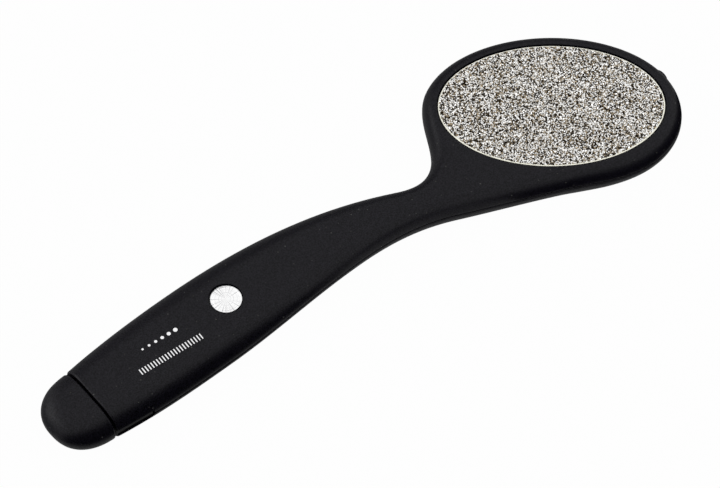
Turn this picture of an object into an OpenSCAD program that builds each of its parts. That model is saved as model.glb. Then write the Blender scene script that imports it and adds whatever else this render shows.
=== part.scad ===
// Foot file: a flat paddle moulded in two shells, with an oval abrasive plate on each face
// of its head and a pull-off end cap on its handle.
// It lies flat: X runs along the handle from the cap to the head, Z is up, and the origin is
// the middle of the whole outline, on the surface that the file lies on.

/* [Body] */
// Length from the end of the cap to the catch at the head's far end
overall_l = 228.7; // [215:0.1:245]
// Thickness of the body
body_t = 12.8; // [12:0.1:15]
// Thickness of the shells' walls and webs
wall = 1.6; // [1.2:0.1:1.9]
// Width of the side rounding round the head and the neck
edge_head = 4.4; // [3.5:0.1:4.5]
// Width of the side rounding along the handle
edge_handle = 8; // [6:0.1:9]

/* [Head] */
// Length of the oval abrasive plate
plate_l = 71.3; // [66:0.1:76]
// Width of the oval abrasive plate
plate_w = 45.8; // [42:0.1:50]
// Width of the rim round the plate
rim_w = 5.4; // [5.2:0.1:7]
// Angle that the oval is turned from the handle's line
head_turn = 39; // [36:0.5:42]

/* [Handle] */
// Greatest width of the handle
handle_w = 30.5; // [28:0.1:34]
// Sideways distance from the head's centre to the handle's middle line
handle_y = 9.6; // [8:0.1:11]
// Width of the handle where the cap begins
seam_w = 26.4; // [25:0.1:28]
// Distance from the narrowest part of the neck to the head's centre
neck_to_head = 46.7; // [42:0.1:52]
// Width of the neck, measured square to the handle's line
neck_w = 15.9; // [13:0.1:18]
// Sideways drop from the handle's middle line to the middle of the neck
neck_drop = 11.1; // [9.5:0.1:12.5]

/* [End cap] */
// Length of the cap
cap_l = 15.6; // [14:0.1:18]
// How far the cap's surface lies inside the line of the handle
cap_inset = 0.15; // [0.1:0.05:0.3]
// Gap at the seam between the cap and the shells
seam_gap = 0.6; // [0.4:0.05:0.8]
// Angle by which the seam leans towards the head at its far end
seam_lean = 1.4; // [0:0.1:2]
// Length of the plug inside the handle
plug_l = 15; // [14:0.1:20]
// Length of the plug's stub inside the cap
stub_l = 7.5; // [6:0.1:8]
// Width of the plug
plug_w = 20; // [18:0.1:20.5]
// Height of the plug
plug_h = 8.4; // [7:0.1:8.5]
// Thickness of the plug's wall
plug_wall = 1.4; // [1:0.1:1.8]
// Length of the side slots that the plug's tongues lie in
slot_l = 13; // [11:0.1:13.5]
// Height of the side slots
slot_h = 3; // [2.4:0.1:3.6]
// How far the tongues lie under the handle's surface
tongue_sink = 0.6; // [0.4:0.1:1]

/* [Plates] */
// Thickness of the bonding pad under a plate
pad_t = 0.3; // [0.2:0.05:0.4]
// Thickness of a steel plate
plate_t = 0.8; // [0.5:0.05:0.9]
// Thickness of the layer of grit
grit_t = 0.3; // [0.2:0.05:0.5]
// How far the grit lies under the rim's flat
grit_sink = 0.05; // [0:0.05:0.2]
// Gap between a plate and the side of its recess
plate_gap = 0.3; // [0.2:0.05:0.6]
// Bare margin of steel round the grit
grit_margin = 0.35; // [0.2:0.05:0.6]
// Margin of the bonding pad inside the plate's edge
pad_margin = 1.5; // [1:0.1:3]

/* [Badge] */
// Diameter of the round badge
badge_d = 9.8; // [8:0.1:12]
// Thickness of the badge
badge_t = 0.6; // [0.4:0.05:0.7]
// Thickness of the badge's bonding pad
badge_pad_t = 0.2; // [0.1:0.05:0.25]
// Gap round the badge
badge_gap = 0.35; // [0.2:0.05:0.5]
// Distance from the seam to the badge's centre
badge_from_seam = 53; // [48:0.1:57]
// How far the badge lies to the far side of the handle's middle line
badge_aside = 0.2; // [0:0.1:0.5]

/* [Inside] */
// Clearance that the plug slides in
slide_gap = 0.2; // [0.15:0.01:0.3]
// Clearance round a piece that is bonded in its pocket
bond_gap = 0.05; // [0.03:0.01:0.1]
// Distance from the end of the handle's hollow to the narrowest part of the neck
store_to_neck = 66.3; // [64:0.1:75]
// Thickness of the solid wall at the end of that hollow
bulkhead_t = 8; // [7:0.1:10]
// Radius of the pegs that join the shells
peg_r = 1.5; // [1.2:0.1:1.7]
// Height of the pegs
peg_h = 2.4; // [2:0.1:2.6]
// Clearance round the pegs
peg_gap = 0.1; // [0.05:0.01:0.15]
// Extra radius of the bosses round the pegs
boss_wall = 1.5; // [1.2:0.1:2]
// Thickness of the ribs
rib_t = 1.6; // [1.2:0.1:2.4]
// Distance from one handle rib to the next
rib_pitch = 14; // [12:0.5:18]
// Length of the catch at the head's far end
catch_l = 3.6; // [2.5:0.1:6]
// Height of the catch over the parting line
catch_h = 3; // [1.5:0.1:3.4]
// How far the catch stands out
catch_out = 0.3; // [0.3:0.1:1]

/* [Hidden] */

overrun = 1;
mid_z = body_t / 2;
$fn = 64;

// Counts of points along the outline and over the side rounding. The outline's tip on the head
// is the point that has as many points on each side of it up to the cap's tip.
head_points = 40;
bend_points = 8;
cap_points = 16;
tip_i = (head_points - bend_points) / 2;
edge_steps = 6;
oval_points = 90;

// The oval's support along X, and the point where the rim reaches furthest
half_l = plate_l / 2;
half_w = plate_w / 2;
oval_reach = norm([half_l * cos(head_turn), half_w * sin(head_turn)]);
rim_reach = oval_reach + rim_w;
catch_y = -(half_l ^ 2 - half_w ^ 2) * sin(head_turn) * cos(head_turn) / oval_reach;

// Places along the file
end_x = -overall_l / 2 - cap_inset;
head_x = overall_l / 2 - catch_out - rim_reach;
shell_x = end_x + cap_l;
cap_face_x = shell_x - seam_gap;
neck_x = head_x - neck_to_head;
neck_l = neck_x - end_x;
neck_y = handle_y - neck_drop;
badge_x = shell_x + badge_from_seam;
badge_y = handle_y + badge_aside;
store_end_x = neck_x - store_to_neck;
core_x = store_end_x + bulkhead_t;

// The outline leaves the head's oval at these angles of the oval
near_leave = -24;
far_leave = 163.5;
// How far a curve's handles reach, as a share of the distance between its ends
pull_share = 0.35;
// How square the cap's end is: 2 is an ellipse
cap_square = 2.2;

// Places on the handle's two edges: share of the length to the neck, share of half the
// handle's width to the side of its middle line, and heading in degrees
far_edge_shares = [[0.926, -0.079, 152.9], [0.377, 1, 180]];
near_edge_shares = [[0.402, -1, 0], [0.776, -0.838, 0]];
// Headings at the seam and at the neck
far_seam_way = 186.3;
near_seam_way = -7.5;
far_neck_way = 196.5;
near_neck_way = -24.8;
// Where the near edge runs in to the head: shares of the rim's reach from the head's centre
near_head_shares = [-0.142, -0.779];
near_head_way = -27.7;
// The side rounding grows along this share of the length to the neck
edge_run_share = 0.45;
// Least flat between the plate's recess and the side rounding
rim_flat = 0.3;

function unit(v) = v / norm(v);
function ease(s) = let(c = min(1, max(0, s))) c * c * (3 - 2 * c);

// A point on an oval's edge moved outwards, turned with the head, and set at the head
function oval_point(t, out) =
    [half_l * cos(t), half_w * sin(t)] + out * unit([cos(t) / half_l, sin(t) / half_w]);
function turned(p) =
    [p.x * cos(head_turn) + p.y * sin(head_turn), p.y * cos(head_turn) - p.x * sin(head_turn)];
function head_point(t, out) = [head_x, 0] + turned(oval_point(t, out));
function head_way(t) = atan2(half_w * cos(t), -half_l * sin(t)) - head_turn;

// A smooth curve from one place and heading to the next, without its last point
function bend(p, p_way, q, q_way) =
    let(reach = pull_share * norm(q - p),
        a = p + reach * [cos(p_way), sin(p_way)],
        b = q - reach * [cos(q_way), sin(q_way)])
    [for (i = [0 : bend_points - 1])
        let(t = i / bend_points, s = 1 - t)
        s ^ 3 * p + 3 * s ^ 2 * t * a + 3 * s * t ^ 2 * b + t ^ 3 * q];

// The rounded end of the cap, from the far side of the seam to the near side
function cap_end_point(t) =
    [shell_x - cap_l * sin(t) ^ (2 / cap_square),
     handle_y + seam_w / 2 * sign(cos(t)) * abs(cos(t)) ^ (2 / cap_square)];

// A place on an edge from its row of shares
function edge_place(row) = [end_x + row.x * neck_l, handle_y + row.y * handle_w / 2];

far_neck = [neck_x, neck_y + neck_w / 2];
near_neck = [neck_x, neck_y - neck_w / 2];
far_seam = [shell_x, handle_y + seam_w / 2];
near_seam = [shell_x, handle_y - seam_w / 2];
near_head = [head_x, 0] + rim_reach * near_head_shares;

// Stops along the two edges of the handle, each a place and a heading
far_stops = [
    [head_point(far_leave, rim_w), head_way(far_leave)],
    [far_neck, far_neck_way],
    for (row = far_edge_shares) [edge_place(row), row.z],
    [far_seam, far_seam_way]];
near_stops = [
    [near_seam, near_seam_way],
    for (row = near_edge_shares) [edge_place(row), row.z],
    [near_neck, near_neck_way],
    [near_head, near_head_way],
    [head_point(near_leave, rim_w), head_way(near_leave)]];

function edge_curve(stops) =
    [for (i = [0 : len(stops) - 2])
        each bend(stops[i][0], stops[i][1], stops[i + 1][0], stops[i + 1][1])];

// The whole outline, anticlockwise from above
outline = [
    for (i = [0 : head_points - 1])
        head_point(near_leave + (far_leave - near_leave) * i / head_points, rim_w),
    each edge_curve(far_stops),
    for (i = [0 : cap_points - 1]) cap_end_point(180 * i / cap_points),
    each edge_curve(near_stops)];
outline_n = len(outline);
inward = [for (i = [0 : outline_n - 1])
    let(d = unit(outline[(i + 1) % outline_n] - outline[(i + outline_n - 1) % outline_n]))
    [-d.y, d.x]];

// How far a place lies outside the plate's edge
function beyond_plate(p) =
    let(x = p.x - head_x,
        u = (x * cos(head_turn) - p.y * sin(head_turn)) / half_l,
        v = (x * sin(head_turn) + p.y * cos(head_turn)) / half_w,
        q = norm([u, v]))
    (q - 1) * q / norm([u / half_l, v / half_w]);

// How far the shoulder draws in at a place on the outline. It leaves a flat round the recess.
function edge_at(p) =
    min(edge_head + (edge_handle - edge_head) * ease((neck_x - p.x) / (edge_run_share * neck_l)),
        beyond_plate(p) - plate_gap - rim_flat);
function inset_outline(inset) = [for (i = [0 : outline_n - 1]) outline[i] + inset * inward[i]];

// One level of the rounded body: its height follows a quarter of an ellipse from the middle
// plane, at turn 0, to the flat face, at turn 90
function level(turn, inset) =
    [for (i = [0 : outline_n - 1])
        let(d = inset + edge_at(outline[i]) * (1 - cos(turn)),
            p = outline[i] + d * inward[i])
        [p.x, p.y, (mid_z - inset) * sin(turn)]];

// The two edges of a level, followed from the head's tip to the cap's tip, are joined by a strip
function far_side(k) = (tip_i + k) % outline_n;
function near_side(k) = (tip_i + outline_n - k) % outline_n;
strip = [for (k = [0 : outline_n / 2 - 1])
    each [
        if (k < outline_n / 2 - 1) [far_side(k), far_side(k + 1), near_side(k + 1)],
        if (k > 0) [far_side(k), near_side(k + 1), near_side(k)]]];

// The rounded body between two turns, about its middle plane
module body_between(first_turn, steps, inset) {
    levels = [for (r = [0 : steps])
        level(first_turn + (90 - first_turn) * r / steps, inset)];
    sides = [for (r = [0 : steps - 1], i = [0 : outline_n - 1])
        let(j = (i + 1) % outline_n, low = r * outline_n, high = low + outline_n)
        each [[low + i, high + i, high + j], [low + i, high + j, low + j]]];
    top = steps * outline_n;
    floor_faces = strip;
    top_faces = [for (f = strip) [top + f.z, top + f.y, top + f.x]];
    polyhedron([for (l = levels) each l], [each sides, each floor_faces, each top_faces]);
}

// A shape like a rectangle with round ends
module stadium(w, h) {
    square([w - h, h], center = true);
    for (side = [-1, 1])
        translate([side * (w - h) / 2, 0]) circle(d = h);
}

// A stadium run along the handle from one place to another, about the middle plane
module stadium_run(from_x, to_x, w, h) {
    translate([from_x, handle_y, 0])
        rotate([90, 0, 90])
            linear_extrude(to_x - from_x) stadium(w, h);
}

// A flat oval of the plate's outline, moved inwards
module oval_slab(inset, t) {
    linear_extrude(t)
        polygon([for (i = [0 : oval_points - 1]) head_point(360 * i / oval_points, -inset)]);
}

// A block that spans the whole width between two places along the file
module span(from_x, to_x, from_z, to_z) {
    translate([from_x, -overall_l / 2, from_z])
        cube([to_x - from_x, overall_l, to_z - from_z]);
}

// Turns a cut made square to the handle about the near end of the seam, so that it leans
module leaned() {
    translate([shell_x, near_seam.y, 0])
        rotate([0, 0, -seam_lean])
            translate([-shell_x, -near_seam.y, 0]) children();
}

// Turns a piece of the upper face over to the lower face
module turned_over() {
    translate([0, 0, body_t]) mirror([0, 0, 1]) children();
}

// Sizes of the hollows
bore_w = plug_w + 2 * slide_gap;
bore_h = plug_h + 2 * slide_gap;
recess_d = grit_sink + grit_t + plate_t + pad_t;
head_hollow_h = mid_z - recess_d - wall;
head_hollow_inset = rim_w;
core_h = mid_z - 1.25 * wall;
core_inset = 0.8 * edge_head;
core_end_x = neck_x - neck_w / 2;
core_count = floor((core_end_x - core_x) / rib_pitch);
badge_recess_d = badge_t + badge_pad_t;

// Places of the pegs: two in the bulkhead, one in the neck and two in the head
peg_places = [
    for (side = [-1, 1]) [store_end_x + bulkhead_t / 2, handle_y + side * plug_w / 3],
    [neck_x, neck_y],
    for (side = [-1, 1]) [head_x, 0] + turned([side * half_l / 2, 0])];

// The slots in the shells' edges on both sides of the mouth
module slot_cuts() {
    for (side = [-1, 1])
        translate([shell_x - overrun, handle_y + side * (bore_w + handle_w) / 2 - handle_w / 2, -slot_h / 2])
            translate([0, -side * overrun, 0])
                cube([slot_l + overrun, handle_w, slot_h]);
}

// Closed hollows between ribs in the front of the handle
module core_cuts() {
    for (i = [0 : core_count - 1])
        intersection() {
            translate([0, 0, -core_h]) linear_extrude(2 * core_h) polygon(inset_outline(core_inset));
            span(core_x + i * rib_pitch, core_x + (i + 1) * rib_pitch - rib_t, -core_h, core_h);
        }
}

// The hollow of the head, with a cross of ribs and the bosses left standing
module head_hollow_cut() {
    difference() {
        translate([0, 0, -head_hollow_h]) oval_slab(head_hollow_inset, 2 * head_hollow_h);
        translate([head_x, 0, 0])
            rotate([0, 0, -head_turn]) {
                cube([plate_l, rib_t, body_t], center = true);
                for (side = [-1, 0, 1])
                    translate([side * half_l / 2, 0, 0])
                        cube([rib_t, plate_w, body_t], center = true);
            }
        for (p = peg_places)
            translate([p.x, p.y, -mid_z]) cylinder(r = peg_r + boss_wall, h = body_t);
    }
}

// What both shells have, with the parting plane at zero
module shell_half() {
    difference() {
        body_between(0, edge_steps, 0);
        leaned() span(end_x - cap_l, shell_x, -overrun, body_t);
        stadium_run(shell_x - overrun, store_end_x, bore_w, bore_h);
        slot_cuts();
        core_cuts();
        head_hollow_cut();
        translate([0, 0, mid_z - recess_d]) oval_slab(-plate_gap, recess_d + overrun);
    }
}

module upper_shell() {
    color([0.12, 0.12, 0.13])
        translate([0, 0, mid_z]) {
            difference() {
                shell_half();
                translate([badge_x, badge_y, mid_z - badge_recess_d])
                    cylinder(d = badge_d + 2 * badge_gap, h = badge_recess_d + overrun);
            }
            translate([head_x + rim_reach - overrun, catch_y - catch_l / 2, 0])
                cube([overrun + catch_out, catch_l, catch_h]);
            for (p = peg_places)
                translate([p.x, p.y, -peg_h]) cylinder(r = peg_r, h = peg_h + overrun);
        }
}

module lower_shell() {
    color([0.12, 0.12, 0.13])
        difference() {
            translate([0, 0, mid_z]) mirror([0, 0, 1]) shell_half();
            for (p = peg_places)
                translate([p.x, p.y, mid_z - peg_h - peg_gap])
                    cylinder(r = peg_r + peg_gap, h = peg_h + peg_gap + overrun);
        }
}

module cap_shell() {
    color([0.12, 0.12, 0.13])
        translate([0, 0, mid_z])
            difference() {
                body_between(-90, 2 * edge_steps, cap_inset);
                leaned() span(cap_face_x, overall_l, -body_t, body_t);
                stadium_run(cap_face_x - stub_l, cap_face_x + overrun,
                            plug_w + 2 * bond_gap, plug_h + 2 * bond_gap);
            }
}

// The plug that carries the cap: a tube with a collar in the seam and a tongue in each slot
module cap_plug() {
    collar_edge = cap_inset + 3 * seam_gap;
    tongue_h = slot_h - 2 * slide_gap;
    color([0.03, 0.03, 0.03])
        translate([0, 0, mid_z]) {
            difference() {
                union() {
                    stadium_run(cap_face_x - stub_l, shell_x + plug_l, plug_w, plug_h);
                    intersection() {
                        stadium_run(cap_face_x - overrun, shell_x + overrun,
                                    seam_w - 2 * collar_edge, body_t - 2 * collar_edge);
                        leaned() span(cap_face_x, shell_x - seam_gap / 5, -body_t, body_t);
                    }
                }
                stadium_run(cap_face_x - stub_l + plug_wall, shell_x + plug_l + overrun,
                            plug_w - 2 * plug_wall, plug_h - 2 * plug_wall);
            }
            difference() {
                intersection() {
                    translate([0, 0, -tongue_h / 2])
                        linear_extrude(tongue_h) polygon(inset_outline(tongue_sink));
                    span(cap_face_x, shell_x + slot_l - slide_gap, -tongue_h, tongue_h);
                }
                leaned() span(end_x - cap_l, cap_face_x + seam_gap / 2, -body_t, body_t);
                translate([0, handle_y, 0])
                    cube([overall_l, plug_w - plug_wall, body_t], center = true);
            }
        }
}

// One abrasive plate is a bonding pad, a steel oval and a layer of grit, from below upwards
pad_z = body_t - recess_d;
module plate_pad() translate([0, 0, pad_z]) oval_slab(pad_margin, pad_t);
module plate_steel() translate([0, 0, pad_z + pad_t]) oval_slab(0, plate_t);
module plate_grit() translate([0, 0, pad_z + pad_t + plate_t]) oval_slab(grit_margin, grit_t);

module coarse_pad() color([0.85, 0.83, 0.75]) plate_pad();
module coarse_plate() color([0.86, 0.84, 0.76]) plate_steel();
module coarse_grit() color([0.66, 0.64, 0.61]) plate_grit();
module fine_pad() color([0.85, 0.83, 0.75]) turned_over() plate_pad();
module fine_plate() color([0.86, 0.84, 0.76]) turned_over() plate_steel();
module fine_grit() color([0.55, 0.54, 0.53]) turned_over() plate_grit();

module badge_pad() {
    color([0.85, 0.83, 0.75])
        translate([badge_x, badge_y, body_t - badge_recess_d])
            cylinder(d = badge_d - badge_t, h = badge_pad_t);
}

module badge() {
    color([0.85, 0.85, 0.86])
        translate([badge_x, badge_y, body_t - badge_t]) cylinder(d = badge_d, h = badge_t);
}

upper_shell();
lower_shell();
cap_shell();
cap_plug();
coarse_pad();
coarse_plate();
coarse_grit();
fine_pad();
fine_plate();
fine_grit();
badge_pad();
badge();
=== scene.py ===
import math

import bmesh
import bpy
import numpy as np
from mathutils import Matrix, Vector, geometry


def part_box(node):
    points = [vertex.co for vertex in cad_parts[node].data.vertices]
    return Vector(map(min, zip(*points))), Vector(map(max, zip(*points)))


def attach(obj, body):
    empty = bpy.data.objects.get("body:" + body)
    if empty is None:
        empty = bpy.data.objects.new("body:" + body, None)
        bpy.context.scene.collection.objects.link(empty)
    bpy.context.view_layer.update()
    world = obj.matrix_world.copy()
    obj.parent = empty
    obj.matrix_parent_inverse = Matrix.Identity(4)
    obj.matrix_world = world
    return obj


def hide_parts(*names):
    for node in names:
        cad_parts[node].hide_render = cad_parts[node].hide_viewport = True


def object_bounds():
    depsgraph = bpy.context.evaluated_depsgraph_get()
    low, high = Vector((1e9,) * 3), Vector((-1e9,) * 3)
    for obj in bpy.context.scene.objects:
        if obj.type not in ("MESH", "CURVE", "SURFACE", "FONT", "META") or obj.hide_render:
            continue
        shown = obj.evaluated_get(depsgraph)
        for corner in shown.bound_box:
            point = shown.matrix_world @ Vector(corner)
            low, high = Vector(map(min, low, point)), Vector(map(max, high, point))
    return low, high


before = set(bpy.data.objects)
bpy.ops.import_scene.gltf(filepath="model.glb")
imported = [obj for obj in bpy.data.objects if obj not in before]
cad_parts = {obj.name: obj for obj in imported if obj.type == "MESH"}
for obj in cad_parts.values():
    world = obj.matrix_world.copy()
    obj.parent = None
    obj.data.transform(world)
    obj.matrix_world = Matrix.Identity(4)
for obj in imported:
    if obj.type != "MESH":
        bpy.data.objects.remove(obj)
cad_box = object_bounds()

mm = 0.001

# Places that the frame gives
shell_lo, shell_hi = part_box("upper_shell")
steel_lo, steel_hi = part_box("coarse_plate")
badge_lo, badge_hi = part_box("badge")
cap_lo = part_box("cap_shell")[0]
plug_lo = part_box("cap_plug")[0]

body_t = shell_hi.z
mid_z = body_t / 2
head_centre = np.array([(steel_lo.x + steel_hi.x) / 2, (steel_lo.y + steel_hi.y) / 2])
badge_centre = np.array([(badge_lo.x + badge_hi.x) / 2, (badge_lo.y + badge_hi.y) / 2])
badge_r = (badge_hi.x - badge_lo.x) / 2

# The body's outline, as the construction has it. A way is a heading in degrees.
plate_l = 71.3 * mm
plate_w = 45.8 * mm
rim_w = 5.4 * mm
head_turn = math.radians(39)
handle_w = 30.5 * mm
handle_y = 9.6 * mm
seam_w = 26.4 * mm
cap_inset = 0.15 * mm
seam_lean = math.radians(1.4)
neck_to_head = 46.7 * mm
store_to_neck = 66.3 * mm
neck_w = 15.9 * mm
neck_drop = 11.1 * mm
edge_head = 4.4 * mm
edge_handle = 8 * mm
edge_run_share = 0.45
rim_flat = 0.3 * mm
near_leave = math.radians(-24)
far_leave = math.radians(163.5)
pull_share = 0.35
far_edge_shares = ((0.926, -0.079, 152.9), (0.377, 1, 180))
near_edge_shares = ((0.402, -1, 0), (0.776, -0.838, 0))
far_seam_way = 186.3
near_seam_way = -7.5
far_neck_way = 196.5
near_neck_way = -24.8
near_head_shares = (-0.142, -0.779)
near_head_way = -27.7

# Where the looks differ a little from the construction: a fuller cap and a seam that shows wider
cap_square = 2.32
cap_blend_l = 2 * mm
seam_gap = 0.8 * mm
seam_drawback = 0.2 * mm
lean_reach = 7.5 * mm
edge_blend = 0.4 * mm

# What is cut into the body and what fills it
plate_gap = 0.3 * mm
recess_gap = 0.38 * mm
steel_draw = 0.08 * mm
recess_d = body_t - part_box("coarse_pad")[0].z
bond_margin = 0.55 * mm
bond_t = 0.09 * mm
badge_gap = 0.48 * mm
badge_slack = np.array([-0.06, 0.14]) * mm
badge_sink = 0.12 * mm
badge_recess_d = body_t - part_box("badge_pad")[0].z
plug_w = 20 * mm
plug_h = 8.4 * mm
slide_gap = 0.2 * mm
bond_gap = 0.05 * mm
slot_l = 13 * mm
slot_h = 3 * mm
slot_in = 4 * mm
slot_lean_share = 0.8
catch_l = 5.2 * mm
catch_h = 3.6 * mm
catch_out = 0.3 * mm
overrun = 1 * mm

# Edges that moulding leaves round
parting_r = 0.32 * mm
parting_gap = 0.24 * mm
parting_d = 0.9 * mm
lip_w = 0.5 * mm
lip_drop = 0.27 * mm
lip_power = 1.3
mouth_lip = 0.44 * mm
recess_lip_r = 0.1 * mm
slot_lip = 0.08 * mm
steel_r = 0.12 * mm
plug_r = 0.12 * mm
plug_edge_angle = math.radians(40)
crease_angle = math.radians(32)
support = 0.05 * mm

# A construction solid's points that lie this near are one, and faces that bend less than this are one
weld_gap = 0.002 * mm
flat_angle = math.radians(2)

# The badge's rim and groove as (inwards, drop) in mm, and the fine rings inside them
badge_edge = ((0, 0.14), (0.04, 0.05), (0.14, 0), (0.55, 0), (0.63, 0.07), (0.76, 0.09), (0.86, 0.03))
ring_w = 0.42 * mm
ring_depth = 0.022 * mm

# The crystals: spacing and seed on each side. Size, margin and crowding go by the spacing, and each
# side of a crystal is scaled by something from least to most.
coarse_spacing = 0.3 * mm
coarse_seed = 3
fine_spacing = 0.29 * mm
fine_seed = 8
crystal_size_share = 1.4
crystal_margin_share = 0.3
crystal_crowding = 3.5
crystal_least = 0.6
crystal_most = 1.1

# The printed rows: how far they are turned on the handle, where their middles lie and what they hold
row_turn = -4.5
dot_centre = (-70.6 * mm, 11.5 * mm)
dot_row = {"Count": 6, "Step": 2.4 * mm, "Wide": 0.7 * mm, "Tall": 0.7 * mm, "Growth": 0.2, "Round": True}
bar_centre = (-71.2 * mm, 5.1 * mm)
bar_row = {"Count": 22, "Step": 1.05 * mm, "Wide": 0.36 * mm, "Tall": 2.1 * mm, "Growth": 0.0,
           "Round": False}

# Counts
head_steps = 170
bend_steps = 24
cap_steps = 96
edge_steps = 16
round_steps = 4
bevel_steps = 3
end_steps = 16
catch_steps = 32
dot_steps = 32
oval_steps = 360
badge_steps = 128
badge_rings = 9
ring_steps = 4

# What follows from these
quarter_turns = [math.radians(90 * i / round_steps) for i in range(round_steps + 1)]
end_x = cap_lo.x - cap_inset
shell_x = shell_lo.x + seam_drawback
cap_face_x = shell_x - seam_gap
cap_l = shell_x - end_x
rim_reach = math.hypot(plate_l / 2 * math.cos(head_turn), plate_w / 2 * math.sin(head_turn)) + rim_w
neck_x = head_centre[0] - neck_to_head
neck_y = handle_y - neck_drop
neck_l = neck_x - end_x
store_end_x = neck_x - store_to_neck


def unit(v):
    return v / np.linalg.norm(v)


def heading(degrees):
    """The direction that lies so many degrees anticlockwise from the handle's own."""
    return np.array([math.cos(math.radians(degrees)), math.sin(math.radians(degrees))])


def ease(share):
    """Goes smoothly from 0 to 1."""
    c = min(1, max(0, share))
    return c * c * (3 - 2 * c)


def leaned(piece):
    """Leans the seam towards the head at its far end, and leaves what is further from it."""
    near_y = handle_y - seam_w / 2
    for v in piece.data.vertices:
        share = 1 - ease(abs(v.co.x - shell_x) / lean_reach)
        v.co.x += math.tan(seam_lean) * (v.co.y - near_y) * share
    piece.data.update()


def head_place(turn, out):
    """A place on the plate's oval, moved outwards, with the oval turned and set at the head."""
    edge = np.array([plate_l / 2 * math.cos(turn), plate_w / 2 * math.sin(turn)])
    x, y = edge + out * unit(np.array([math.cos(turn) / plate_l, math.sin(turn) / plate_w]))
    c, s = math.cos(head_turn), math.sin(head_turn)
    return head_centre + np.array([x * c + y * s, y * c - x * s])


def head_way(turn):
    """The heading of the oval's edge at a turn, in degrees."""
    way = math.atan2(plate_w * math.cos(turn), -plate_l * math.sin(turn))
    return math.degrees(way - head_turn)


def bend(p, p_way, q, q_way):
    """A smooth curve from one place and heading to the next, without its last point."""
    reach = pull_share * np.linalg.norm(q - p)
    a, b = p + reach * heading(p_way), q - reach * heading(q_way)
    shares = [i / bend_steps for i in range(bend_steps)]
    return [(1 - t) ** 3 * p + 3 * (1 - t) ** 2 * t * a + 3 * (1 - t) * t * t * b + t ** 3 * q
            for t in shares]


def run(stops):
    """Smooth curves through stops, each a place and its heading, without the last place."""
    return [p for s, e in zip(stops, stops[1:]) for p in bend(*s, *e)]


def edge_place(along, side):
    """A place given as shares of the length to the neck and of the handle's half width."""
    return np.array([end_x + along * neck_l, handle_y + side * handle_w / 2])


def lip_rows():
    """Distances from an end at which its lip has points, and one just past it."""
    return [lip_w * i / round_steps for i in range(round_steps + 1)] + [lip_w + support]


def with_lip_rows(points):
    """Adds the lip's rows of points at both ends of a path."""
    def rows(p, q):
        share = [d / abs(q[0] - p[0]) for d in lip_rows()]
        return [p + (q - p) * s for s in share]
    return rows(points[0], points[1]) + points[1:-1] + rows(points[-1], points[-2])[::-1]


def body_path():
    """The shells' outline, anticlockwise from the near end of the seam round the head."""
    near_seam = np.array([shell_x, handle_y - seam_w / 2])
    far_seam = np.array([shell_x, handle_y + seam_w / 2])
    near_neck = np.array([neck_x, neck_y - neck_w / 2])
    far_neck = np.array([neck_x, neck_y + neck_w / 2])
    near_head = head_centre + rim_reach * np.array(near_head_shares)
    near = run([(near_seam, near_seam_way)]
               + [(edge_place(a, s), way) for a, s, way in near_edge_shares]
               + [(near_neck, near_neck_way), (near_head, near_head_way),
                  (head_place(near_leave, rim_w), head_way(near_leave))])
    head = [head_place(near_leave + (far_leave - near_leave) * i / head_steps, rim_w)
            for i in range(head_steps)]
    far = run([(head_place(far_leave, rim_w), head_way(far_leave)), (far_neck, far_neck_way)]
              + [(edge_place(a, s), way) for a, s, way in far_edge_shares]
              + [(far_seam, far_seam_way)])
    return with_lip_rows(near + head + far + [far_seam])


def cap_path():
    """The cap's outline, anticlockwise from the far end of the seam to the near end."""
    first = math.asin(((shell_x - cap_face_x) / cap_l) ** (cap_square / 2))
    points = []
    for i in range(cap_steps + 1):
        turn = first + (math.pi - 2 * first) * i / cap_steps
        along = math.sin(turn) ** (2 / cap_square)
        side = math.copysign(abs(math.cos(turn)) ** (2 / cap_square), math.cos(turn))
        points.append(np.array([shell_x - cap_l * along, handle_y + seam_w / 2 * side]))
    return with_lip_rows(points)


def inward_of(path, end, blend_l):
    """The inward direction at each point. Near the seam it lies square to the handle."""
    ways = []
    for i, p in enumerate(path):
        d = unit(path[min(i + 1, len(path) - 1)] - path[max(i - 1, 0)])
        square = np.array([0, math.copysign(1, handle_y - p[1])])
        share = ease(abs(p[0] - end) / blend_l)
        ways.append(unit(share * np.array([-d[1], d[0]]) + (1 - share) * square))
    return ways


def beyond_plate(p):
    """How far a place lies outside the plate's edge."""
    c, s = math.cos(head_turn), math.sin(head_turn)
    dx, dy = p - head_centre
    u, v = (dx * c - dy * s) / (plate_l / 2), (dx * s + dy * c) / (plate_w / 2)
    q = math.hypot(u, v)
    return (q - 1) * q / math.hypot(u / (plate_l / 2), v / (plate_w / 2))


def edge_at(p):
    """How far the shoulder draws in, always less than it takes to reach the plate's recess."""
    free = edge_head + (edge_handle - edge_head) * ease((neck_x - p[0]) / (edge_run_share * neck_l))
    room = beyond_plate(p) - plate_gap - rim_flat
    blend = max(0, edge_blend - abs(free - room)) / edge_blend
    return min(free, room) - blend ** 2 * edge_blend / 4


def lip_at(distance):
    """How far the surface draws in at a distance from an end, so that the end has a soft chamfer."""
    return lip_drop * max(0, 1 - distance / lip_w) ** lip_power


def new_object(name, data):
    piece = bpy.data.objects.new(name, data)
    bpy.context.collection.objects.link(piece)
    return piece


def ring(place, out, z, steps):
    """Points at one height round an outline. place gives a point on it at a turn, moved outwards."""
    return [(*place(2 * math.pi * i / steps, out), z) for i in range(steps)]


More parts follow.
